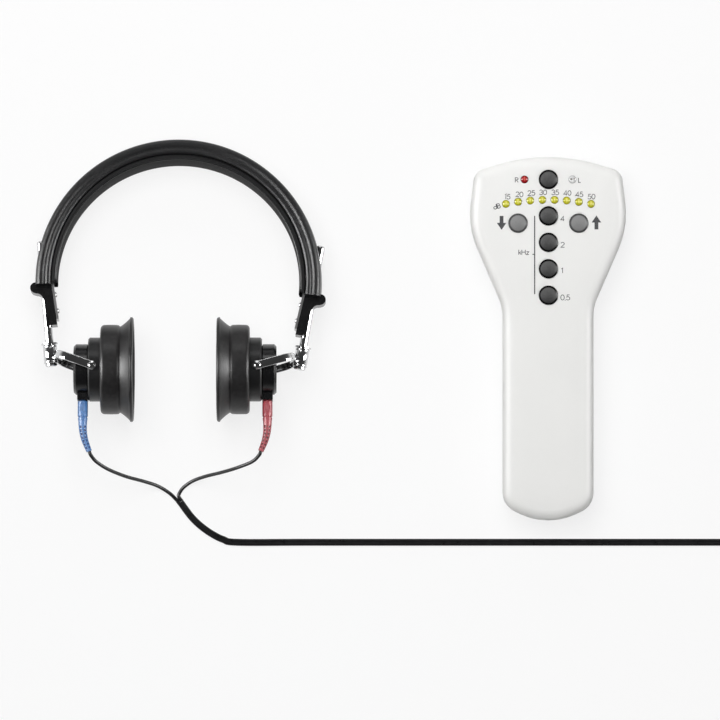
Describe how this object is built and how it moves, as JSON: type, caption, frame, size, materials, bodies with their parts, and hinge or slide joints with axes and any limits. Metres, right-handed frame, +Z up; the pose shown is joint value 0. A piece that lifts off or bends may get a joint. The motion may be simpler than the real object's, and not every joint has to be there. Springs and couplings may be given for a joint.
{
  "type": "audiometer",
  "caption": "Hand-held screening audiometer with domed keys and level lamps, and a padded headset with sliding forks and coloured plugs.",
  "frame": {"origin": "middle of the hand unit's flat back face, which lies on the table at z = 0", "axes": "+Z up from the table through the unit's face, +Y from the unit's grip to its head, +X to the right when the unit is read; the headset lies to the -X side"},
  "size_m": [0.5013, 0.2482, 0.0638],
  "materials": {
    "case_plastic": "matte, fine grain",
    "black_key": "satin",
    "grey_key": "satin",
    "yellow_lens": "tinted gloss",
    "red_lens": "tinted gloss",
    "clear_lens": "clear gloss",
    "board": "lacquered",
    "chip": "matte",
    "battery_wrap": "printed foil",
    "steel": "brushed",
    "chrome": "polished",
    "leatherette": "grained satin",
    "black_plastic": "satin",
    "cushion_rubber": "smooth matte",
    "driver_metal": "plain",
    "blue_plug": "satin",
    "red_plug": "satin",
    "cord": "satin"
  },
  "bodies": {
    "base": {"top_case": "case_plastic", "bottom_case": "case_plastic", "case_screws": "steel", "circuit_board": "board", "board_screws": "steel", "board_chips": "chip", "battery": "battery_wrap", "battery_snap": "black_plastic", "tact_switches": "chip", "level_lamps": "yellow_lens", "right_ear_lamp": "red_lens", "left_ear_lamp": "clear_lens", "headphone_socket": "black_plastic", "headband_cover": "leatherette", "headband_lining": "leatherette", "headband_spring": "steel", "band_rivets": "steel", "slider_block_left": "black_plastic", "slider_block_right": "black_plastic", "lead_left": "cord", "lead_right": "cord", "main_lead": "cord", "lead_coil": "cord", "plug_grip": "cord", "headset_plug": "chrome"},
    "door": {"battery_door": "case_plastic"},
    "ear_key_body": {"ear_key": "black_key"},
    "key_4khz_body": {"key_4khz": "black_key"},
    "key_2khz_body": {"key_2khz": "black_key"},
    "key_1khz_body": {"key_1khz": "black_key"},
    "key_05khz_body": {"key_05khz": "black_key"},
    "level_down_key_body": {"level_down_key": "grey_key"},
    "level_up_key_body": {"level_up_key": "grey_key"},
    "slider_left": {"slider_rod_left": "chrome", "rod_washer_left": "chrome"},
    "fork_body_left": {"fork_left": "chrome", "fork_pins_left": "chrome"},
    "earphone_left": {"cushion_left": "cushion_rubber", "earphone_body_left": "black_plastic", "earphone_back_left": "black_plastic", "driver_left": "driver_metal", "ear_grille_left": "black_plastic", "lead_plug_left": "blue_plug"},
    "slider_right": {"slider_rod_right": "chrome", "rod_washer_right": "chrome"},
    "fork_body_right": {"fork_right": "chrome", "fork_pins_right": "chrome"},
    "earphone_right": {"cushion_right": "cushion_rubber", "earphone_body_right": "black_plastic", "earphone_back_right": "black_plastic", "driver_right": "driver_metal", "ear_grille_right": "black_plastic", "lead_plug_right": "red_plug"}
  },
  "joints": [
    {"name": "ear_key_press", "type": "slide", "parent": "base", "child": "ear_key_body", "axis": [0, 0, -1], "range_m": [0, 0.0008], "stiffness_N_per_m": 1500},
    {"name": "key_4khz_press", "type": "slide", "parent": "base", "child": "key_4khz_body", "axis": [0, 0, -1], "range_m": [0, 0.0008], "stiffness_N_per_m": 1500},
    {"name": "key_2khz_press", "type": "slide", "parent": "base", "child": "key_2khz_body", "axis": [0, 0, -1], "range_m": [0, 0.0008], "stiffness_N_per_m": 1500},
    {"name": "key_1khz_press", "type": "slide", "parent": "base", "child": "key_1khz_body", "axis": [0, 0, -1], "range_m": [0, 0.0008], "stiffness_N_per_m": 1500},
    {"name": "key_05khz_press", "type": "slide", "parent": "base", "child": "key_05khz_body", "axis": [0, 0, -1], "range_m": [0, 0.0008], "stiffness_N_per_m": 1500},
    {"name": "level_down_key_press", "type": "slide", "parent": "base", "child": "level_down_key_body", "axis": [0, 0, -1], "range_m": [0, 0.0008], "stiffness_N_per_m": 1500},
    {"name": "level_up_key_press", "type": "slide", "parent": "base", "child": "level_up_key_body", "axis": [0, 0, -1], "range_m": [0, 0.0008], "stiffness_N_per_m": 1500},
    {"name": "battery_door_hinge", "type": "hinge", "parent": "base", "child": "door", "pos_m": [0, -0.0275, 0.0013], "axis": [1, 0, 0], "range_deg": [0, 95]},
    {"name": "slider_travel_left", "type": "slide", "parent": "base", "child": "slider_left", "axis": [0.0889, -0.9874, 0.1308], "range_m": [-0.0095, 0.027], "deforming": ["lead_left"]},
    {"name": "fork_swivel_left", "type": "hinge", "parent": "slider_left", "child": "fork_body_left", "pos_m": [-0.30309, -0.00888, 0.03069], "axis": [-0.0889, 0.9874, -0.1308], "range_deg": [-45, 45]},
    {"name": "earphone_tilt_left", "type": "hinge", "parent": "fork_body_left", "child": "earphone_left", "pos_m": [-0.27729, -0.01803, 0.03191], "axis": [0, 0.1314, 0.9913], "range_deg": [-15, 15]},
    {"name": "slider_travel_right", "type": "slide", "parent": "base", "child": "slider_right", "axis": [-0.1719, -0.9766, 0.1294], "range_m": [-0.0052, 0.0313], "deforming": ["lead_right"]},
    {"name": "fork_swivel_right", "type": "hinge", "parent": "slider_right", "child": "fork_body_right", "pos_m": [-0.15054, -0.01099, 0.03097], "axis": [0.1719, 0.9766, -0.1294], "range_deg": [-45, 45]},
    {"name": "earphone_tilt_right", "type": "hinge", "parent": "fork_body_right", "child": "earphone_right", "pos_m": [-0.17701, -0.01797, 0.0319], "axis": [0, 0.1314, 0.9913], "range_deg": [-15, 15]}
  ]
}
